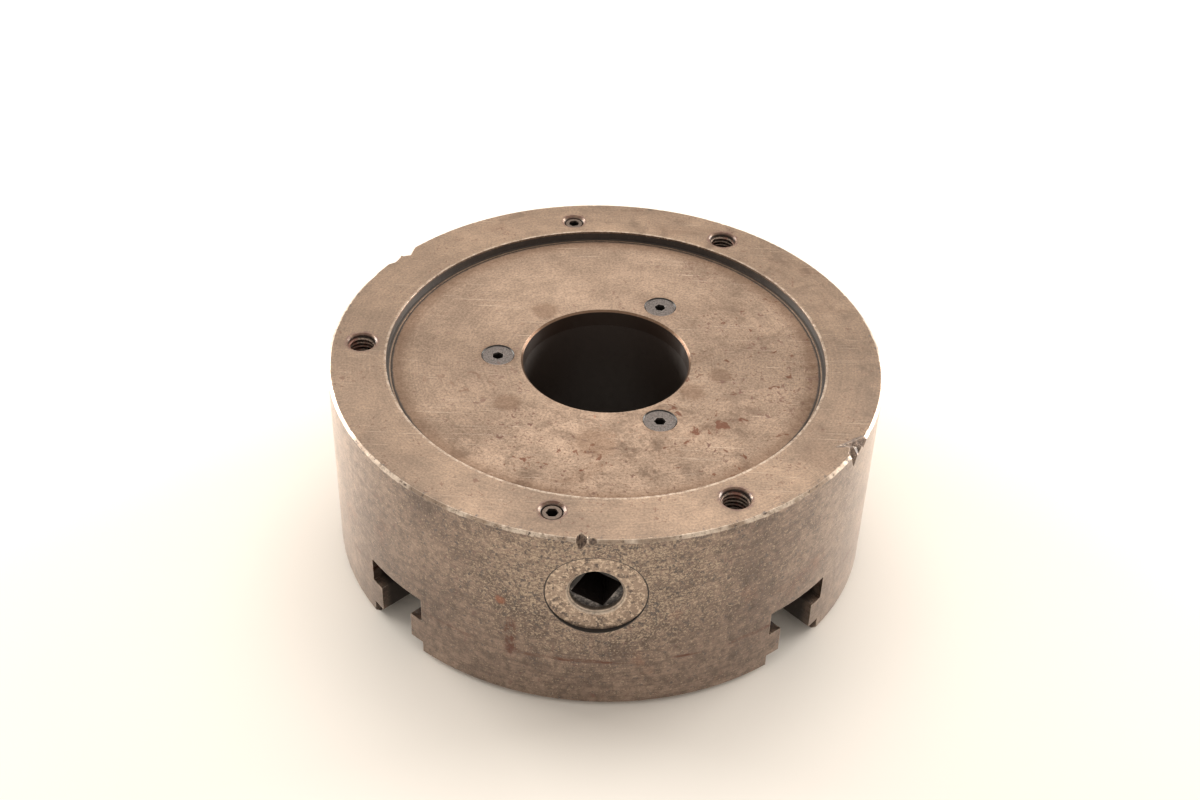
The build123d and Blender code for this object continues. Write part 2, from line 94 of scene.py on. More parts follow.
# ---------------------------------------------------------------- node helpers
class Graph:
    """Short calls for building one material's nodes."""

    def __init__(self, name):
        self.material = bpy.data.materials.new(name)
        self.material.use_nodes = True
        self.tree = self.material.node_tree
        self.tree.nodes.clear()
        self.shader = self.node("ShaderNodeBsdfPrincipled")
        output = self.node("ShaderNodeOutputMaterial")
        self.tree.links.new(self.shader.outputs[0], output.inputs["Surface"])
        coordinates = self.node("ShaderNodeTexCoord")
        self.place = self.vector("SCALE", coordinates.outputs["Object"], scale=1 / MM)
        split = self.node("ShaderNodeSeparateXYZ")
        self.link(self.place, split.inputs[0])
        self.x, self.y, self.z = split.outputs
        flat = self.vector("MULTIPLY", self.place, (1, 1, 0))
        self.radius = self.vector("LENGTH", flat)

    def node(self, kind, **settings):
        made = self.tree.nodes.new(kind)
        for key, value in settings.items():
            setattr(made, key, value)
        return made

    def link(self, source, socket):
        if isinstance(source, bpy.types.NodeSocket):
            self.tree.links.new(source, socket)
        else:
            socket.default_value = source

    def math(self, operation, first, second=0.0, third=0.0, clamp=False):
        made = self.node("ShaderNodeMath", operation=operation, use_clamp=clamp)
        for value, socket in zip((first, second, third), made.inputs):
            self.link(value, socket)
        return made.outputs[0]

    def vector(self, operation, first, second=(0, 0, 0), scale=1.0):
        made = self.node("ShaderNodeVectorMath", operation=operation)
        self.link(first, made.inputs[0])
        if operation not in ("SCALE", "LENGTH"):
            self.link(second, made.inputs[1])
        if operation == "SCALE":
            made.inputs["Scale"].default_value = scale
        return made.outputs["Value" if operation in ("LENGTH", "DISTANCE", "DOT_PRODUCT") else 0]

    def combine(self, x, y, z):
        made = self.node("ShaderNodeCombineXYZ")
        for value, socket in zip((x, y, z), made.inputs):
            self.link(value, socket)
        return made.outputs[0]

    def noise(self, where, scale, detail=3.0, roughness=0.55, distortion=0.0):
        """Noise, with its scale in cycles per millimetre."""
        made = self.node("ShaderNodeTexNoise")
        self.link(where, made.inputs["Vector"])
        made.inputs["Scale"].default_value = scale
        made.inputs["Detail"].default_value = detail
        made.inputs["Roughness"].default_value = roughness
        made.inputs["Distortion"].default_value = distortion
        return made.outputs[0]

    def band(self, value, low, high, rise_from=0.0, rise_to=1.0):
        """Smooth step of a value from one level to another."""
        made = self.node("ShaderNodeMapRange", interpolation_type="SMOOTHSTEP")
        self.link(value, made.inputs["Value"])
        made.inputs["From Min"].default_value = low
        made.inputs["From Max"].default_value = high
        made.inputs["To Min"].default_value = rise_from
        made.inputs["To Max"].default_value = rise_to
        return made.outputs[0]

    def both(self, first, second):
        return self.math("MULTIPLY", first, second)

    def either(self, first, second):
        return self.math("MAXIMUM", first, second)

    def near(self, value, middle, reach, soft):
        """1 where a value is within reach of the middle, falling to 0 over the soft distance."""
        away = self.math("ABSOLUTE", self.math("SUBTRACT", value, middle))
        return self.band(away, reach, reach + soft, 1.0, 0.0)

    def blend(self, amount, first, second):
        """Mix of two colours."""
        made = self.node("ShaderNodeMix", data_type="RGBA")
        self.link(amount, made.inputs["Factor"])
        self.link(rgba(first), made.inputs["A"])
        self.link(rgba(second), made.inputs["B"])
        return made.outputs["Result"]

    def shade(self, color, factor):
        """A colour made lighter or darker by a factor."""
        return self.vector("MULTIPLY", color, self.combine(factor, factor, factor))

    def mix_value(self, amount, first, second):
        made = self.node("ShaderNodeMix", data_type="FLOAT")
        self.link(amount, made.inputs["Factor"])
        self.link(first, made.inputs["A"])
        self.link(second, made.inputs["B"])
        return made.outputs["Result"]

    def ring_noise(self, across, frequency, detail=2.0):
        """Streaks that run round the axis: fast across the cut, slow along it."""
        slow = self.vector("MULTIPLY", self.place, (0.02, 0.02, 0.0))
        moved = self.vector("ADD", slow, self.combine(0.0, 0.0, self.math("MULTIPLY", across, frequency)))
        return self.noise(moved, 1.0, detail, 0.6)

    def scratches(self, turn, seed, wide, dense):
        """Fine straight scratches in one direction, broken up into patches."""
        turned = self.node("ShaderNodeMapping")
        self.link(self.place, turned.inputs["Vector"])
        turned.inputs["Location"].default_value = (seed, seed * 1.7, 0)
        turned.inputs["Rotation"].default_value = (0, 0, radians(turn))
        turned.inputs["Scale"].default_value = (0.045, 1.0 / wide, 0.045)
        lines = self.noise(turned.outputs[0], 1.0, 1.0, 0.4, 0.25)
        thin = self.band(lines, 0.735 - dense, 0.76 - dense)
        moved = self.vector("ADD", self.place, (seed * 9, seed, 0))
        patches = self.band(self.noise(moved, 0.035, 2), 0.45, 0.62)
        return self.both(thin, patches)

    def edge_wear(self, radius_mm):
        """1 on outside and inside edges: where a rounded normal leaves the true one."""
        bevel = self.node("ShaderNodeBevel", samples=6)
        bevel.inputs["Radius"].default_value = radius_mm * MM
        true_normal = self.node("ShaderNodeNewGeometry").outputs["Normal"]
        dot = self.node("ShaderNodeVectorMath", operation="DOT_PRODUCT")
        self.link(bevel.outputs[0], dot.inputs[0])
        self.link(true_normal, dot.inputs[1])
        return self.band(dot.outputs["Value"], 0.999, 0.90)

    def turned(self, amount):
        """Makes the gloss spread across the turning marks, which run round the Z axis."""
        self.shader.inputs["Anisotropic"].default_value = amount
        self.shader.inputs["Anisotropic Rotation"].default_value = 0.25
        around = self.node("ShaderNodeTangent", direction_type="RADIAL", axis="Z")
        self.link(around.outputs[0], self.shader.inputs["Tangent"])

    def finish(self, color, roughness, metallic, height, depth_mm, edge_radius=0.0):
        """Connects the surface, with a bump whose depth is in millimetres."""
        self.link(color, self.shader.inputs["Base Color"])
        self.link(roughness, self.shader.inputs["Roughness"])
        self.link(metallic, self.shader.inputs["Metallic"])
        bump = self.node("ShaderNodeBump")
        bump.inputs["Strength"].default_value = 1.0
        bump.inputs["Distance"].default_value = depth_mm * MM
        self.link(height, bump.inputs["Height"])
        if edge_radius:
            rounded = self.node("ShaderNodeBevel", samples=6)
            rounded.inputs["Radius"].default_value = edge_radius * MM
            self.link(rounded.outputs[0], bump.inputs["Normal"])
        self.link(bump.outputs[0], self.shader.inputs["Normal"])
        return self.material


def rgba(color):
    if isinstance(color, tuple) and len(color) == 3:
        return (*color, 1.0)
    return color


# ---------------------------------------------------------------- colours
STEEL_LIGHT = (0.345, 0.256, 0.192)
STEEL_MID = (0.262, 0.193, 0.145)
STEEL_DARK = (0.15, 0.105, 0.078)
STAIN_BROWN = (0.135, 0.072, 0.042)
# Bright worn metal; also the painted highlight along the recess's inner edge
BRIGHT_WEAR_AND_HIGHLIGHT = (0.78, 0.66, 0.55)
SAND = (0.56, 0.44, 0.32)
SIDE_MID = (0.265, 0.19, 0.147)
SIDE_DARK = (0.145, 0.10, 0.078)
PIT = (0.048, 0.032, 0.028)
# Near-black for dirt and painted shade in holes, slots, sockets, joints and the recess wall
GRIME_AND_SHADE = (0.012, 0.0085, 0.0075)
# Very dark brown in the bore: dirt and painted shade
BORE_BROWN = (0.026, 0.014, 0.009)
RUST = (0.34, 0.105, 0.04)
RUST_DARK = (0.12, 0.038, 0.022)
BLACKENED = (0.135, 0.118, 0.112)
BLACKENED_WORN = (0.42, 0.38, 0.36)
TORN_DARK = (0.075, 0.052, 0.042)
PINION_DARK = (0.28, 0.21, 0.165)
PINION_LIGHT = (0.40, 0.305, 0.24)
PINION_GRAIN = (0.66, 0.53, 0.41)
SOCKET_DARK = (0.045, 0.042, 0.042)
# Painted light on the lower half of the key socket's ledge
SOCKET_LEDGE_LIT = (0.30, 0.27, 0.25)
THREAD_DARK = (0.16, 0.12, 0.10)
THREAD_BRIGHT = (0.42, 0.33, 0.27)
THREAD_RUST = (0.20, 0.05, 0.03)
JAW_STEEL = (0.50, 0.46, 0.41)
SCROLL_STEEL = (0.46, 0.43, 0.40)
FLOOR_WARM = (0.86, 0.825, 0.775)
FLOOR_PALE = (0.88, 0.85, 0.81)

# The back rim's own steel is browner than the plate's, which is a touch lighter
RIM_TINT = (0.88, 0.82, 0.76)
PLATE_TINT = (1.04, 1.02, 1.02)
# Gloss spreads across the turning marks; an oil film lies over the body
TURNED_GLOSS = 0.8
OIL_FILM = 0.55
OIL_ROUGHNESS = 0.3

# ---------------------------------------------------------------- places, in millimetres
CHIP_DEPTH = 7.8
CHIP_REACH = 4.9
GROOVE_TIP = (74.6, -31.8)
GROOVE_END_ANGLE = -26.5
RUST_STAIN_ANGLE = -108.5
RUST_STAIN_HEIGHT = 35.5
RUST_RUN_ANGLE = -106.5
RUST_RUN_HEIGHT = 22.0
SCRIBED_HEIGHT = 18.2
SOCKET_MOUTH_RADIUS = 7.1
SOCKET_LEDGE_DEPTH = 2.2
GRUB_TOP = BODY_HEIGHT - 0.8
BETWEEN_SCREWS = (40.0, 41.0)
# Brown spots on the back plate: across, along and size
PLATE_SPOTS = (
    (-19.0, 23.0, 2.6),
    (33.0, -6.0, 2.2),
    (25.0, -14.0, 2.4),
    (-2.0, -38.0, 4.0),
    (-27.0, -22.0, 2.4),
)


def upward_mask(graph):
    """1 on faces that look up."""
    split = graph.node("ShaderNodeSeparateXYZ")
    coordinates = graph.node("ShaderNodeTexCoord")
    graph.link(coordinates.outputs["Normal"], split.inputs[0])
    return graph.band(split.outputs[2], 0.35, 0.75)


def spot(graph, center, reach, soft):
    """Round stain about a point, in millimetres, with a ragged outline."""
    centred_noise = graph.math("SUBTRACT", graph.noise(graph.place, 0.45, 4, 0.7), 0.5)
    ragged = graph.math("MULTIPLY", centred_noise, reach * 1.6)
    distance = graph.vector("DISTANCE", graph.place, center)
    return graph.band(graph.math("ADD", distance, ragged), reach, reach + soft, 1.0, 0.0)


def medium_grain(graph):
    """Noise with lumps about two millimetres across, for ragged outlines and broken stains."""
    return graph.noise(graph.vector("ADD", graph.place, (8.0, 8.0, 8.0)), 0.5, 4, 0.7)


def rim_point(angle, height, radius=None):
    """Point at an angle round the axis, on the outer wall unless a radius is given."""
    reach = BODY_RADIUS if radius is None else radius
    return (reach * cos(radians(angle)), reach * sin(radians(angle)), height)


def ground_surface(graph, stains):
    """Ground and turned steel that has been handled: gives colour, roughness and height."""
    place = graph.place
    grain = graph.noise(place, 1.5, 4, 0.7)
    blotch = graph.noise(graph.vector("ADD", place, (60.0, 20.0, 0.0)), 0.16, 5, 0.65)
    cloud = graph.noise(place, 0.035, 4, 0.6)
    rings = graph.ring_noise(graph.radius, 2.6)
    color = graph.blend(graph.band(cloud, 0.30, 0.72), STEEL_MID, STEEL_LIGHT)
    color = graph.shade(color, graph.band(blotch, 0.3, 0.7, 0.88, 1.10))
    color = graph.shade(color, graph.band(grain, 0.28, 0.72, 0.74, 1.26))
    color = graph.shade(color, graph.band(rings, 0.3, 0.7, 0.93, 1.07))
    smudge = graph.noise(graph.vector("ADD", place, (31.0, 7.0, 0.0)), 0.11, 5, 0.7, 0.4)
    smudged = graph.both(graph.band(smudge, 0.50, 0.68), stains)
    color = graph.blend(graph.math("MULTIPLY", smudged, 0.55), color, STEEL_DARK)
    brown = graph.noise(graph.vector("ADD", place, (4.0, 83.0, 0.0)), 0.05, 5, 0.7, 0.8)
    browned = graph.both(graph.band(brown, 0.54, 0.70), stains)
    color = graph.blend(graph.math("MULTIPLY", browned, 0.38), color, STAIN_BROWN)
    scratched = graph.either(graph.scratches(28, 3.1, 0.16, 0.0), graph.scratches(-52, 8.4, 0.20, 0.01))
    scratched = graph.either(scratched, graph.scratches(75, 5.7, 0.14, 0.0))
    color = graph.blend(graph.math("MULTIPLY", scratched, 0.75), color, BRIGHT_WEAR_AND_HIGHLIGHT)
    roughness = graph.band(cloud, 0.3, 0.7, 0.43, 0.34)
    roughness = graph.math("ADD", roughness, graph.math("MULTIPLY", smudged, 0.15))
    height = graph.math("ADD", graph.math("MULTIPLY", grain, 0.35), graph.math("MULTIPLY", rings, 0.25))
    height = graph.math("SUBTRACT", height, graph.math("MULTIPLY", scratched, 0.4))
    return color, roughness, height


def dark_specks(graph, color, amount, size, seed):
    """Small irregular dark specks, as of old corrosion: gives the colour and the specks' mask."""
    shifted = graph.vector("ADD", graph.place, (seed, -seed, seed * 0.3))
    specks = graph.noise(shifted, size, 3, 0.6, 0.6)
    groups = graph.noise(shifted, 0.06, 3, 0.6)
    level = graph.math("ADD", specks, graph.math("MULTIPLY", graph.math("SUBTRACT", groups, 0.5), 0.45))
    mask = graph.both(graph.band(level, 0.64, 0.70), amount)
    return graph.blend(graph.math("MULTIPLY", mask, 0.75), color, RUST_DARK), mask


def pitted_side(graph):
    """The old outer wall: sandy speckle, dark pits, patina clouds and rust."""
    place = graph.place
    fine = graph.noise(place, 1.5, 4, 0.78)
    medium = graph.noise(graph.vector("ADD", place, (5.0, 2.0, 9.0)), 0.42, 5, 0.75)
    cloud = graph.noise(graph.vector("ADD", place, (50.0, 12.0, 3.0)), 0.035, 5, 0.62)
    color = graph.blend(graph.band(cloud, 0.34, 0.64), SIDE_DARK, SIDE_MID)
    color = graph.shade(color, graph.band(medium, 0.32, 0.68, 0.62, 1.36))
    # Light sandy grains, thickest round the pinion and over the upper half of the wall
    pinion_center = (0.0, -BODY_RADIUS, PINION_HEIGHT)
    distance = graph.vector("DISTANCE", place, pinion_center)
    around = graph.band(distance, 14.0, 50.0, 1.0, 0.3)
    upper = graph.band(graph.z, 10.0, 40.0, 0.35, 1.0)
    coverage = graph.math("MULTIPLY", graph.both(around, upper), 0.12)
    sandy = graph.band(graph.math("ADD", fine, coverage), 0.58, 0.68)
    color = graph.blend(graph.math("MULTIPLY", sandy, 0.75), color, SAND)
    pits = graph.noise(graph.vector("ADD", place, (17.0, 3.0, 1.0)), 0.8, 4, 0.75)
    pitted = graph.band(graph.math("ADD", pits, graph.math("MULTIPLY", coverage, 0.45)), 0.60, 0.66)
    color = graph.blend(graph.math("MULTIPLY", pitted, 0.85), color, PIT)
    # Turned lines round the wall, and one darker rusty ring that comes and goes
    turned = graph.ring_noise(graph.z, 2.2)
    color = graph.shade(color, graph.band(turned, 0.3, 0.7, 0.90, 1.10))
    streak = graph.noise(graph.vector("MULTIPLY", place, (0.07, 0.07, 0.9)), 1.0, 4, 0.65)
    color = graph.blend(graph.band(streak, 0.52, 0.68, 0.0, 0.6), color, SIDE_DARK)
    broken = graph.band(graph.noise(graph.vector("MULTIPLY", place, (1, 1, 3)), 0.07, 4), 0.42, 0.6)
    ragged_line = graph.math("ADD", graph.z, graph.math("MULTIPLY", medium, 1.2))
    scribed = graph.both(graph.near(ragged_line, SCRIBED_HEIGHT, 0.35, 0.6), broken)
    color = graph.blend(graph.math("MULTIPLY", scribed, 0.9), color, RUST_DARK)
    # Rust freckles and soft rusty patches
    freckle = graph.band(graph.noise(graph.vector("ADD", place, (9.0, 41.0, 6.0)), 0.4, 4, 0.7), 0.61, 0.67)
    patch = graph.band(graph.noise(graph.vector("ADD", place, (77.0, 4.0, 2.0)), 0.05, 5, 0.7), 0.58, 0.72)
    color = graph.blend(graph.math("MULTIPLY", freckle, 0.6), color, RUST_DARK)
    color = graph.blend(graph.math("MULTIPLY", patch, 0.2), color, RUST)
    roughness = graph.band(fine, 0.3, 0.75, 0.28, 0.44)
    height = graph.math("SUBTRACT", graph.math("MULTIPLY", fine, 0.5), graph.math("MULTIPLY", pitted, 0.9))
    height = graph.math("ADD", height, graph.math("MULTIPLY", turned, 0.12))
    metallic = graph.mix_value(graph.either(pitted, freckle), 0.85, 0.1)
    return color, roughness, height, metallic


def broken_metal(graph):
    """Coarse torn surface of a chip: dark hollows between bright ridges."""
    lumps = graph.noise(graph.vector("ADD", graph.place, (14.0, 6.0, 40.0)), 0.75, 5, 0.8, 0.5)
    color = graph.blend(graph.band(lumps, 0.40, 0.60), TORN_DARK, SIDE_MID)
    return graph.blend(graph.band(lumps, 0.60, 0.72), color, BRIGHT_WEAR_AND_HIGHLIGHT), lumps


def chip_mask(graph):
    """1 on the faces that a chip leaves: near the rim's outer edge, yet off its true surfaces."""
    below_face = graph.band(graph.z, BODY_HEIGHT - 0.22, BODY_HEIGHT - 0.12, 1.0, 0.0)
    inside_wall = graph.band(graph.radius, BODY_RADIUS - 0.22, BODY_RADIUS - 0.12, 1.0, 0.0)
    high = graph.band(graph.z, BODY_HEIGHT - CHIP_DEPTH, BODY_HEIGHT - CHIP_DEPTH + 0.4)
    near_wall = graph.band(graph.radius, BODY_RADIUS - CHIP_REACH, BODY_RADIUS - CHIP_REACH + 0.3)
    rim_drop = graph.math("SUBTRACT", BODY_HEIGHT, graph.z)
    rim_in = graph.math("SUBTRACT", BODY_RADIUS, graph.radius)
    corner = graph.math("ADD", rim_drop, rim_in)
    off_chamfer = graph.band(corner, 0.75, 0.95)
    off_faces = graph.both(graph.both(below_face, inside_wall), off_chamfer)
    return graph.both(off_faces, graph.both(high, near_wall))


def groove_mask(graph):
    """1 on a narrow wedge of the back rim that widens towards the outer edge."""
    tip_reach, tip_angle = GROOVE_TIP
    tip = Vector(rim_point(tip_angle, BODY_HEIGHT, tip_reach))
    run = Vector(rim_point(GROOVE_END_ANGLE, BODY_HEIGHT)) - tip
    side = Vector((-run.y, run.x, 0.0)).normalized()
    from_tip = graph.vector("SUBTRACT", graph.place, tuple(tip))
    along = graph.vector("DOT_PRODUCT", from_tip, tuple(run.normalized()))
    away = graph.math("ABSOLUTE", graph.vector("DOT_PRODUCT", from_tip, tuple(side)))
    width = graph.math("ADD", graph.math("MULTIPLY", along, 0.2), 0.1)
    ragged = graph.math("MULTIPLY", graph.math("SUBTRACT", medium_grain(graph), 0.5), 0.8)
    past_side = graph.math("SUBTRACT", graph.math("ADD", away, ragged), width)
    inside = graph.band(past_side, 0.0, 0.2, 1.0, 0.0)
    before_end = graph.band(along, run.length, run.length + 0.5, 1.0, 0.0)
    ahead = graph.both(graph.band(along, 0.0, 0.4), before_end)
    shallow = graph.band(graph.z, BODY_HEIGHT - 1.0, BODY_HEIGHT - 0.8)
    return graph.both(graph.both(inside, ahead), shallow)


def body_material():
    graph = Graph("worn_cast_body")
    graph.turned(TURNED_GLOSS)
    graph.shader.inputs["Coat Weight"].default_value = OIL_FILM
    graph.shader.inputs["Coat Roughness"].default_value = OIL_ROUGHNESS
    # Brown staining gathers on the back right of the rim
    rim_stains = graph.band(graph.math("ADD", graph.x, graph.y), -60.0, 90.0, 0.35, 0.95)
    top_color, top_rough, top_height = ground_surface(graph, rim_stains)
    top_color = dark_specks(graph, top_color, 0.7, 0.7, 12.0)[0]
    top_color = graph.vector("MULTIPLY", top_color, RIM_TINT)
    side_color, side_rough, side_height, side_metal = pitted_side(graph)
    up = graph.both(upward_mask(graph), graph.band(graph.z, 50.0, 55.0))
    color = graph.blend(up, side_color, top_color)
    roughness = graph.mix_value(up, side_rough, top_rough)
    height = graph.mix_value(up, side_height, top_height)
    metallic = graph.mix_value(up, side_metal, 0.9)
    # Thin worn line along the back rim's outer edge, nicked and uneven, with dark nicks in it
    nicks = graph.noise(graph.place, 0.55, 5, 0.78)
    breaks = graph.band(graph.noise(graph.place, 0.09, 3, 0.6), 0.40, 0.58)
    ragged = graph.math("MULTIPLY", graph.math("SUBTRACT", nicks, 0.5), 1.5)
    rim_drop = graph.math("SUBTRACT", BODY_HEIGHT, graph.z)
    rim_in = graph.math("SUBTRACT", BODY_RADIUS, graph.radius)
    corner = graph.math("ADD", rim_drop, rim_in)
    reach = graph.math("ADD", corner, ragged)
    rim_edge = graph.band(reach, 0.62, 0.95, 1.0, 0.0)
    broken = graph.math("ADD", breaks, 0.25, clamp=True)
    edge_line = graph.both(graph.math("MULTIPLY", rim_edge, 0.9), broken)
    color = graph.blend(edge_line, color, BRIGHT_WEAR_AND_HIGHLIGHT)
    roughness = graph.mix_value(rim_edge, roughness, 0.5)
    dents = graph.both(graph.band(nicks, 0.575, 0.61), graph.band(corner, 1.2, 2.2, 1.0, 0.0))
    color = graph.blend(graph.math("MULTIPLY", dents, 0.85), color, PIT)
    metallic = graph.mix_value(dents, graph.mix_value(rim_edge, metallic, 1.0), 0.1)
    # Torn metal inside the chips, and in the groove that runs inwards from the right gouge
    torn, lumps = broken_metal(graph)
    chipped = graph.either(chip_mask(graph), groove_mask(graph))
    color = graph.blend(chipped, color, torn)
    metallic = graph.mix_value(chipped, metallic, 0.55)
    roughness = graph.mix_value(chipped, roughness, 0.5)
    height = graph.mix_value(chipped, height, graph.math("MULTIPLY", lumps, 9.0))
    # Worn outer edges, and a faint broken bright line along the recess's edge; at the recess's inner edge
    # both are wear and partly a painted highlight
    worn = graph.math("MULTIPLY", graph.edge_wear(0.4), graph.band(nicks, 0.40, 0.62, 0.05, 0.55))
    outside = graph.band(graph.radius, REGISTER_RADIUS - 0.5, REGISTER_RADIUS)
    color = graph.blend(graph.both(worn, outside), color, BRIGHT_WEAR_AND_HIGHLIGHT)
    inner_edge = graph.both(graph.near(graph.radius, REGISTER_RADIUS + 0.25, 0.25, 0.3), up)
    inner_edge = graph.both(inner_edge, graph.band(nicks, 0.42, 0.60, 0.05, 0.4))
    color = graph.blend(inner_edge, color, BRIGHT_WEAR_AND_HIGHLIGHT)
    # Near-black dirt and painted shade: in the bore, down the register's wall and deep in every hole and
    # slot
    bore_dirt_and_shade = graph.band(graph.radius, BORE_RADIUS + 0.3, BORE_RADIUS + 0.6, 1.0, 0.0)
    # The register's wall below its top edge is painted near-black: painted shade, with dirt
    wall = graph.both(
        graph.near(graph.radius, REGISTER_RADIUS - 0.3, 0.45, 0.1),
        graph.band(graph.z, BODY_HEIGHT - 0.75, BODY_HEIGHT - 0.45, 1.0, 0.0),
    )
    dirt_and_shade = graph.either(bore_dirt_and_shade, graph.math("MULTIPLY", wall, 0.9))
    across = graph.combine(graph.x, 0.0, graph.math("SUBTRACT", graph.z, PINION_HEIGHT))
    off_axis = graph.vector("LENGTH", across)
    pinion_gap = graph.band(off_axis, PINION_RADIUS + 0.2, PINION_RADIUS + 0.35, 1.0, 0.0)
    dirt_and_shade = graph.either(dirt_and_shade, graph.both(pinion_gap, graph.band(graph.radius, 60.0, 62.0)))
    # The slot walls inside the rim are painted near-black: painted shade
    inner = graph.band(graph.radius, BODY_RADIUS - 3.5, BODY_RADIUS - 0.4, 1.0, 0.0)
    below = graph.band(graph.z, 55.0, 55.5, 1.0, 0.0)
    above_face = graph.band(graph.z, 0.1, 0.4)
    in_slots = graph.both(inner, graph.both(below, above_face))
    dirt_and_shade = graph.either(dirt_and_shade, graph.math("MULTIPLY", in_slots, 0.93))
    # Rusty mouths of the screw holes in the back rim; their walls below the mouth are painted near-black as
    # dirt and painted shade
    for reach_mm, hole_radius, angles in RIM_HOLES:
        for angle in angles:
            center = rim_point(angle, 0.0, reach_mm)
            from_hole = graph.math("SUBTRACT", from_axis(graph, center), hole_radius)
            in_hole = graph.band(from_hole, 0.1, 0.2, 1.0, 0.0)
            down_hole = graph.band(graph.z, BODY_HEIGHT - 1.2, BODY_HEIGHT - 0.5, 1.0, 0.35)
            at_mouth = graph.band(from_hole, 0.55, 1.5, 1.0, 0.0)
            mouth = graph.both(at_mouth, graph.band(nicks, 0.42, 0.6, 0.25, 1.0))
            color = graph.blend(graph.math("MULTIPLY", mouth, 0.85), color, RUST_DARK)
            metallic = graph.mix_value(mouth, metallic, 0.1)
            dirt_and_shade = graph.either(dirt_and_shade, graph.both(in_hole, down_hole))
    bored = graph.blend(bore_dirt_and_shade, GRIME_AND_SHADE, BORE_BROWN)
    color = graph.blend(dirt_and_shade, color, bored)
    roughness = graph.mix_value(dirt_and_shade, roughness, 0.6)
    metallic = graph.mix_value(dirt_and_shade, metallic, 0.0)
    # Named stains: rust near the pinion and a vertical run to its left
    stain = spot(graph, rim_point(RUST_STAIN_ANGLE, RUST_STAIN_HEIGHT), 0.8, 1.2)
    run_place = rim_point(RUST_RUN_ANGLE, RUST_RUN_HEIGHT)
    run = graph.both(spot(graph, run_place, 5.0, 4.0), graph.near(graph.x, run_place[0], 0.7, 1.6))
    run = graph.both(run, graph.band(medium_grain(graph), 0.40, 0.60))
    color = graph.blend(graph.math("MULTIPLY", stain, 0.55), color, RUST)
    color = graph.blend(graph.math("MULTIPLY", run, 0.85), color, RUST_DARK)
    return graph.finish(color, roughness, metallic, height, 0.05, 0.2)


def from_axis(graph, center):
    """Distance from a vertical line, in millimetres."""
    across = graph.math("SUBTRACT", graph.x, center[0])
    along = graph.math("SUBTRACT", graph.y, center[1])
    return graph.vector("LENGTH", graph.combine(across, along, 0.0))


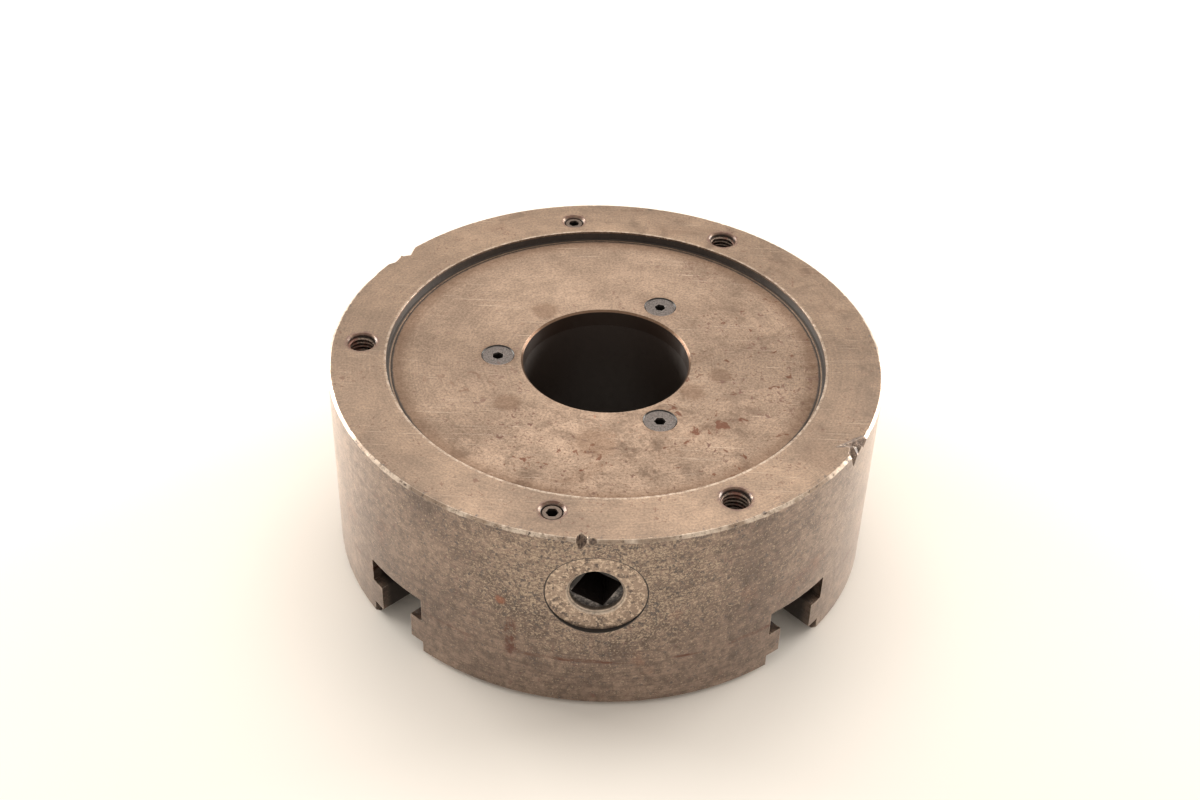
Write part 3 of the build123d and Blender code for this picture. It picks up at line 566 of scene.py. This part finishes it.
def plate_material():
    graph = Graph("stained_back_plate")
    graph.turned(TURNED_GLOSS)
    # Stains gather towards the front and right of the plate
    towards_right = graph.math("MULTIPLY", graph.x, 0.012)
    towards_back = graph.math("MULTIPLY", graph.y, 0.012)
    towards = graph.math("SUBTRACT", towards_right, towards_back)
    stains = graph.math("ADD", 0.62, towards, clamp=True)
    color, roughness, height = ground_surface(graph, stains)
    color = graph.vector("MULTIPLY", color, PLATE_TINT)
    color, specks = dark_specks(graph, color, graph.math("ADD", stains, 0.3, clamp=True), 0.6, 4.0)
    color = dark_specks(graph, color, graph.math("ADD", stains, 0.1, clamp=True), 0.28, 31.0)[0]
    tiny = graph.noise(graph.vector("ADD", graph.place, (3.0, 60.0, 0.0)), 1.5, 3, 0.65)
    tiny_specks = graph.both(graph.band(tiny, 0.59, 0.67), stains)
    color = graph.blend(graph.math("MULTIPLY", tiny_specks, 0.7), color, STAIN_BROWN)
    # Dirt and painted shade in the corner of the recess, spreading a little over the plate's outer edge
    ragged_edge = graph.math("ADD", graph.radius, graph.math("MULTIPLY", medium_grain(graph), 5.0))
    corner_dirt_and_shade = graph.band(ragged_edge, PLATE_RADIUS - 4.0, PLATE_RADIUS + 1.5, 0.0, 0.5)
    color = graph.blend(corner_dirt_and_shade, color, STAIN_BROWN)
    # Orange rust flecks and grey smears just in front of the bore
    front_patch = graph.vector("DISTANCE", graph.place, (4.0, -BORE_RADIUS - 5.0, PLATE_TOP))
    flecks = graph.noise(graph.vector("ADD", graph.place, (7.0, 0.0, 5.0)), 0.6, 4, 0.7)
    rusty = graph.both(graph.band(flecks, 0.62, 0.67), graph.band(front_patch, 4.0, 11.0, 1.0, 0.0))
    color = graph.blend(graph.math("MULTIPLY", rusty, 0.8), color, RUST)
    smear_field = graph.noise(graph.vector("ADD", graph.place, (1.0, 2.0, 0.0)), 0.22, 5, 0.75, 0.8)
    smear = graph.both(graph.band(smear_field, 0.48, 0.62), graph.band(front_patch, 8.0, 24.0, 1.0, 0.0))
    color = graph.blend(graph.math("MULTIPLY", smear, 0.5), color, STEEL_DARK)
    for across, along, size in PLATE_SPOTS:
        stain = spot(graph, (across, along, PLATE_TOP), size, size)
        color = graph.blend(graph.math("MULTIPLY", stain, 0.45), color, STAIN_BROWN)
    # Scuffed brown chamfer at the bore; the bore wall and the outer joint are painted dark, as dirt and
    # painted shade
    worn = graph.edge_wear(0.3)
    at_bore = graph.band(graph.radius, BORE_RADIUS + 0.9, BORE_RADIUS + 1.2, 1.0, 0.0)
    color = graph.blend(graph.math("MULTIPLY", graph.both(worn, at_bore), 0.2), color, BRIGHT_WEAR_AND_HIGHLIGHT)
    bore_lip = graph.band(graph.radius, BORE_RADIUS + 0.45, BORE_RADIUS + 0.6, 1.0, 0.0)
    color = graph.blend(graph.math("MULTIPLY", bore_lip, 0.7), color, STAIN_BROWN)
    wall = graph.both(
        graph.band(graph.radius, BORE_RADIUS + 0.12, BORE_RADIUS + 0.3, 1.0, 0.0),
        graph.band(graph.z, PLATE_TOP - 0.75, PLATE_TOP - 0.5, 1.0, 0.0),
    )
    # The joint at the plate's rim and the plate's side below its top: dark dirt and painted shade
    joint_edge = graph.math("ADD", graph.radius, graph.math("MULTIPLY", medium_grain(graph), 0.9))
    joint = graph.band(joint_edge, PLATE_RADIUS - 0.35, PLATE_RADIUS + 0.15)
    under = graph.band(graph.z, PLATE_TOP - 0.9, PLATE_TOP - 0.5, 1.0, 0.0)
    joint_and_under = graph.math("MULTIPLY", graph.either(joint, under), 0.85)
    dirt_and_shade = graph.either(wall, joint_and_under)
    # Dark gap round each countersunk head, with a little dirt spread past it
    for x, y, head_radius in PLATE_SCREWS:
        from_screw = graph.math("SUBTRACT", from_axis(graph, (x, y)), head_radius)
        gap = graph.band(from_screw, 0.34, 0.44, 1.0, 0.0)
        nearby = graph.band(from_screw, 0.4, 2.0, 1.0, 0.0)
        spread = graph.both(nearby, graph.band(flecks, 0.40, 0.62, 0.1, 0.8))
        color = graph.blend(graph.math("MULTIPLY", spread, 0.5), color, STAIN_BROWN)
        dirt_and_shade = graph.either(dirt_and_shade, gap)
    bored = graph.blend(wall, GRIME_AND_SHADE, BORE_BROWN)
    color = graph.blend(dirt_and_shade, color, bored)
    roughness = graph.math("ADD", roughness, graph.math("MULTIPLY", specks, 0.15))
    metallic = graph.mix_value(graph.either(dirt_and_shade, graph.either(rusty, specks)), 0.9, 0.05)
    speckled = graph.math("MULTIPLY", graph.either(specks, tiny_specks), 0.5)
    height = graph.math("SUBTRACT", height, speckled)
    return graph.finish(color, roughness, metallic, height, 0.035, 0.12)


def pinion_material():
    graph = Graph("worn_pinion")
    place = graph.place
    fine = graph.noise(place, 0.75, 5, 0.8)
    cloud = graph.noise(place, 0.14, 4, 0.6)
    color = graph.blend(graph.band(cloud, 0.35, 0.65), PINION_DARK, PINION_LIGHT)
    color = graph.blend(graph.band(fine, 0.50, 0.57), color, PINION_GRAIN)
    pits = graph.noise(graph.vector("ADD", place, (9.0, 3.0, 1.0)), 0.6, 4, 0.78)
    pitted = graph.band(pits, 0.55, 0.60)
    color = graph.blend(graph.math("MULTIPLY", pitted, 0.75), color, PIT)
    across = graph.combine(graph.x, 0.0, graph.math("SUBTRACT", graph.z, PINION_HEIGHT))
    off_axis = graph.vector("LENGTH", across)
    at_mouth = graph.near(off_axis, SOCKET_MOUTH_RADIUS + 0.4, 0.35, 0.25)
    mouth = graph.both(at_mouth, graph.band(fine, 0.35, 0.6, 0.35, 1.0))
    color = graph.blend(graph.math("MULTIPLY", mouth, 0.75), color, BRIGHT_WEAR_AND_HIGHLIGHT)
    along = graph.math("ABSOLUTE", graph.y)
    # The socket is painted black as painted shade, save for the lower half of the ledge under its round
    # mouth, which is painted lighter, mottled, as painted light
    ledge_depth = graph.near(along, PINION_FACE - SOCKET_LEDGE_DEPTH, 0.12, 0.08)
    lower_half = graph.band(graph.z, PINION_HEIGHT - 1.0, PINION_HEIGHT + 0.5, 1.0, 0.0)
    ledge = graph.both(ledge_depth, lower_half)
    lit_ledge = graph.blend(graph.band(fine, 0.42, 0.62), SOCKET_DARK, SOCKET_LEDGE_LIT)
    in_mouth = graph.band(off_axis, SOCKET_MOUTH_RADIUS - 0.05, SOCKET_MOUTH_RADIUS + 0.1, 1.0, 0.0)
    deep = graph.both(in_mouth, graph.band(along, PINION_FACE - 1.4, PINION_FACE - 0.9, 1.0, 0.35))
    rim = graph.band(off_axis, PINION_RADIUS - 0.25, PINION_RADIUS - 0.05)
    rim = graph.either(rim, graph.band(along, PINION_FACE - 0.5, PINION_FACE - 0.2, 1.0, 0.0))
    past_mouth = graph.band(off_axis, SOCKET_MOUTH_RADIUS + 0.1, SOCKET_MOUTH_RADIUS + 0.5)
    dirt_and_shade = graph.either(deep, graph.math("MULTIPLY", graph.both(rim, past_mouth), 0.7))
    color = graph.blend(dirt_and_shade, color, GRIME_AND_SHADE)
    on_ledge = graph.band(off_axis, SOCKET_MOUTH_RADIUS - 0.05, SOCKET_MOUTH_RADIUS + 0.05, 1.0, 0.0)
    color = graph.blend(graph.both(ledge, on_ledge), color, lit_ledge)
    metallic = graph.mix_value(graph.either(dirt_and_shade, pitted), 0.85, 0.1)
    roughness = graph.band(fine, 0.3, 0.7, 0.38, 0.55)
    height = graph.math("SUBTRACT", graph.math("MULTIPLY", fine, 0.4), graph.math("MULTIPLY", pitted, 0.7))
    return graph.finish(color, roughness, metallic, height, 0.05, 0.15)


def screw_material():
    """Blackened screws: worn edges, a little rust and dirt in the sockets."""
    graph = Graph("blackened_screw")
    place = graph.place
    fine = graph.noise(place, 1.8, 4, 0.7)
    color = graph.shade(graph.combine(*BLACKENED), graph.band(fine, 0.32, 0.68, 0.5, 1.6))
    worn = graph.edge_wear(0.25)
    color = graph.blend(graph.math("MULTIPLY", worn, 0.45), color, BLACKENED_WORN)
    rust = graph.band(graph.noise(graph.vector("ADD", place, (2.0, 9.0, 4.0)), 0.8, 4, 0.7), 0.60, 0.68)
    color = graph.blend(graph.math("MULTIPLY", rust, 0.5), color, RUST_DARK)
    # Near-black in the sockets and round the heads, as dirt and painted shade, at a different height on
    # each kind of screw
    is_plate_screw = graph.band(graph.radius, *BETWEEN_SCREWS, 1.0, 0.0)
    is_grub = graph.band(graph.radius, *BETWEEN_SCREWS)
    sunk = graph.both(graph.band(graph.z, PLATE_TOP - 1.2, PLATE_TOP - 0.7, 1.0, 0.0), is_plate_screw)
    sunk_grub = graph.both(graph.band(graph.z, GRUB_TOP - 0.75, GRUB_TOP - 0.35, 1.0, 0.0), is_grub)
    dirt_and_shade = graph.either(sunk, sunk_grub)
    # The grub screws in the back rim are browner and dirtier than the countersunk ones
    color = graph.blend(graph.math("MULTIPLY", is_grub, 0.6), color, STEEL_DARK)
    color = graph.blend(dirt_and_shade, color, GRIME_AND_SHADE)
    metallic = graph.mix_value(graph.either(rust, dirt_and_shade), 0.8, 0.1)
    roughness = graph.band(fine, 0.3, 0.7, 0.36, 0.5)
    return graph.finish(color, roughness, metallic, fine, 0.03, 0.12)


def machined_material(name, tint, axis_lines):
    """Clean internal steel: cutter marks, a darker film and patches of grease."""
    graph = Graph(name)
    place = graph.place
    marks = graph.ring_noise(graph.radius if axis_lines else graph.z, 3.0)
    film = graph.noise(place, 0.06, 4, 0.6)
    color = graph.shade(graph.combine(*tint), graph.band(marks, 0.3, 0.7, 0.86, 1.14))
    color = graph.blend(graph.band(film, 0.45, 0.75, 0.0, 0.5), color, STEEL_DARK)
    grease = graph.band(graph.noise(graph.vector("ADD", place, (4.0, 1.0, 8.0)), 0.16, 5, 0.7), 0.58, 0.7)
    color = graph.blend(graph.math("MULTIPLY", grease, 0.6), color, RUST_DARK)
    worn = graph.edge_wear(0.35)
    color = graph.blend(graph.math("MULTIPLY", worn, 0.5), color, BRIGHT_WEAR_AND_HIGHLIGHT)
    roughness = graph.band(film, 0.3, 0.7, 0.26, 0.46)
    metallic = graph.mix_value(grease, 0.95, 0.4)
    return graph.finish(color, roughness, metallic, marks, 0.02, 0.15)


def thread_material():
    """Tapped threads: oily dark flanks, bright crests and rust at the mouth."""
    graph = Graph("tapped_thread")
    place = graph.place
    fine = graph.noise(place, 1.6, 4, 0.7)
    color = graph.blend(graph.band(fine, 0.4, 0.65), THREAD_DARK, THREAD_BRIGHT)
    rust = graph.band(graph.noise(graph.vector("ADD", place, (6.0, 2.0, 3.0)), 0.3, 4, 0.7), 0.48, 0.60)
    color = graph.blend(graph.math("MULTIPLY", rust, 0.65), color, THREAD_RUST)
    # Darker towards the bottom of the hole, to near-black: dirt and painted shade
    depth = graph.band(graph.z, 50.0, 60.5, 1.0, 0.0)
    color = graph.blend(graph.math("MULTIPLY", depth, 0.75), color, GRIME_AND_SHADE)
    roughness = graph.band(fine, 0.3, 0.7, 0.35, 0.55)
    metallic = graph.mix_value(graph.either(rust, depth), 0.8, 0.2)
    return graph.finish(color, roughness, metallic, fine, 0.03, 0.0)


def set_material(node_name, material):
    node = frame["nodes"][node_name]
    node.data.materials.clear()
    node.data.materials.append(material)


screw = screw_material()
set_material("chuck_body", body_material())
set_material("back_plate", plate_material())
pinion = pinion_material()
jaw_steel = machined_material("ground_jaw", JAW_STEEL, False)
for name in frame["nodes"]:
    if "screw" in name:
        set_material(name, screw)
    elif name.startswith("pinion_"):
        set_material(name, pinion)
    elif name.startswith("base_jaw"):
        set_material(name, jaw_steel)
set_material("scroll_plate", machined_material("turned_scroll", SCROLL_STEEL, True))


# ---------------------------------------------------------------- tapped threads
THREAD_PITCH = 1.25
THREAD_STEPS = 40


def thread_ridge(name, center, radius, crest, bottom, top, material, body):
    """Helical ridge of triangular section on the wall of a tapped hole, in millimetres."""
    mesh = bmesh.new()
    turns = (top - bottom) / THREAD_PITCH
    count = int(turns * THREAD_STEPS)
    rings = []
    for step in range(count + 1):
        angle = 2 * pi * step / THREAD_STEPS
        height = bottom + THREAD_PITCH * step / THREAD_STEPS
        fade = min(1.0, step / THREAD_STEPS * 2, (count - step) / THREAD_STEPS * 2)
        ring = []
        section = (
            (radius, -0.5),
            (radius - 0.75 * crest * fade, -0.15),
            (radius - crest * fade, 0.0),
            (radius - 0.75 * crest * fade, 0.15),
            (radius, 0.5),
        )
        for reach, rise in section:
            point = Vector((reach * cos(angle), reach * sin(angle), height + rise * THREAD_PITCH))
            ring.append(mesh.verts.new((point + center) * MM))
        rings.append(ring)
    for lower, upper in zip(rings, rings[1:]):
        for k in range(len(lower)):
            following = (k + 1) % len(lower)
            mesh.faces.new((lower[k], lower[following], upper[following], upper[k]))
    mesh.faces.new(rings[0])
    mesh.faces.new(rings[-1])
    bmesh.ops.recalc_face_normals(mesh, faces=mesh.faces)
    data = bpy.data.meshes.new(name)
    mesh.to_mesh(data)
    mesh.free()
    for face in data.polygons:
        face.use_smooth = True
    piece = bpy.data.objects.new(name, data)
    scene.collection.objects.link(piece)
    piece.data.materials.append(material)
    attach(piece, body)
    return piece


thread = thread_material()
hole_wall = MOUNTS["mounting_holes"]["dims"]["hole_r_mm"] - 0.01
for number, angle in enumerate(HOLE_ANGLES, 1):
    hole_center = Vector(rim_point(angle, 0, HOLE_CIRCLE))
    thread_ridge(f"mounting_thread_{number}", hole_center, hole_wall, 0.62,
                 BODY_HEIGHT - 17.2, BODY_HEIGHT - 0.9, thread, "body")


# ---------------------------------------------------------------- floor, light and camera
def pale_floor():
    graph = Graph("pale_floor")
    cloud = graph.noise(graph.place, 0.004, 3, 0.5)
    color = graph.blend(graph.band(cloud, 0.3, 0.7), FLOOR_WARM, FLOOR_PALE)
    bpy.ops.mesh.primitive_plane_add(size=8.0, location=(0, 0, 0))
    floor = bpy.context.object
    floor.name = "studio_floor"
    floor.data.materials.append(graph.finish(color, 0.6, 0.0, cloud, 0.0))
    graph.shader.inputs["Specular IOR Level"].default_value = 0.25


pale_floor()

world = bpy.data.worlds.new("studio_world")
scene.world = world
world.use_nodes = True
background = world.node_tree.nodes["Background"]
background.inputs["Color"].default_value = (1.0, 0.93, 0.84, 1.0)
background.inputs["Strength"].default_value = 0.75


def area_light(name, place, target, size, power, color):
    light = bpy.data.lights.new(name, "AREA")
    light.shape = "SQUARE"
    light.size = size
    light.energy = power
    light.color = color
    lamp = bpy.data.objects.new(name, light)
    scene.collection.objects.link(lamp)
    lamp.location = place
    lamp.rotation_euler = (Vector(target) - Vector(place)).to_track_quat("-Z", "Y").to_euler()


area_light("overhead_softbox", (0.03, 0.5, 1.0), (0, 0, 0.03), 0.8, 5.4, (1.0, 0.95, 0.88))
area_light("left_window", (-0.75, 0.4, 0.12), (0, 0, 0.03), 0.5, 13.0, (1.0, 0.94, 0.87))
area_light("right_window", (0.75, 0.4, 0.12), (0, 0, 0.03), 0.5, 12.0, (1.0, 0.94, 0.87))

CAMERA_PLACE = Vector((-1.33, -388.42, 353.92)) * MM
CAMERA_ELEVATION = radians(38.60)
CAMERA_ROLL = radians(2.0)
CHUCK_TURN = radians(0.4)
forward = Vector((0, cos(CAMERA_ELEVATION), -sin(CAMERA_ELEVATION)))
level_right = Vector((1, 0, 0))
level_up = level_right.cross(forward)
right = level_right * cos(CAMERA_ROLL) + level_up * sin(CAMERA_ROLL)
up = right.cross(forward)
turn = Matrix.Rotation(CHUCK_TURN, 4, "Z")
axes = Matrix((right, up, -forward)).transposed().to_4x4()
camera_data = bpy.data.cameras.new("photo_camera")
camera_data.sensor_fit = "HORIZONTAL"
camera_data.sensor_width = 36.0
camera_data.lens = 50.25
camera = bpy.data.objects.new("photo_camera", camera_data)
scene.collection.objects.link(camera)
camera.matrix_world = turn @ Matrix.Translation(CAMERA_PLACE) @ axes
scene.camera = camera
bpy.context.scene.camera = camera
scene.view_settings.view_transform = "Standard"
scene.view_settings.look = "None"
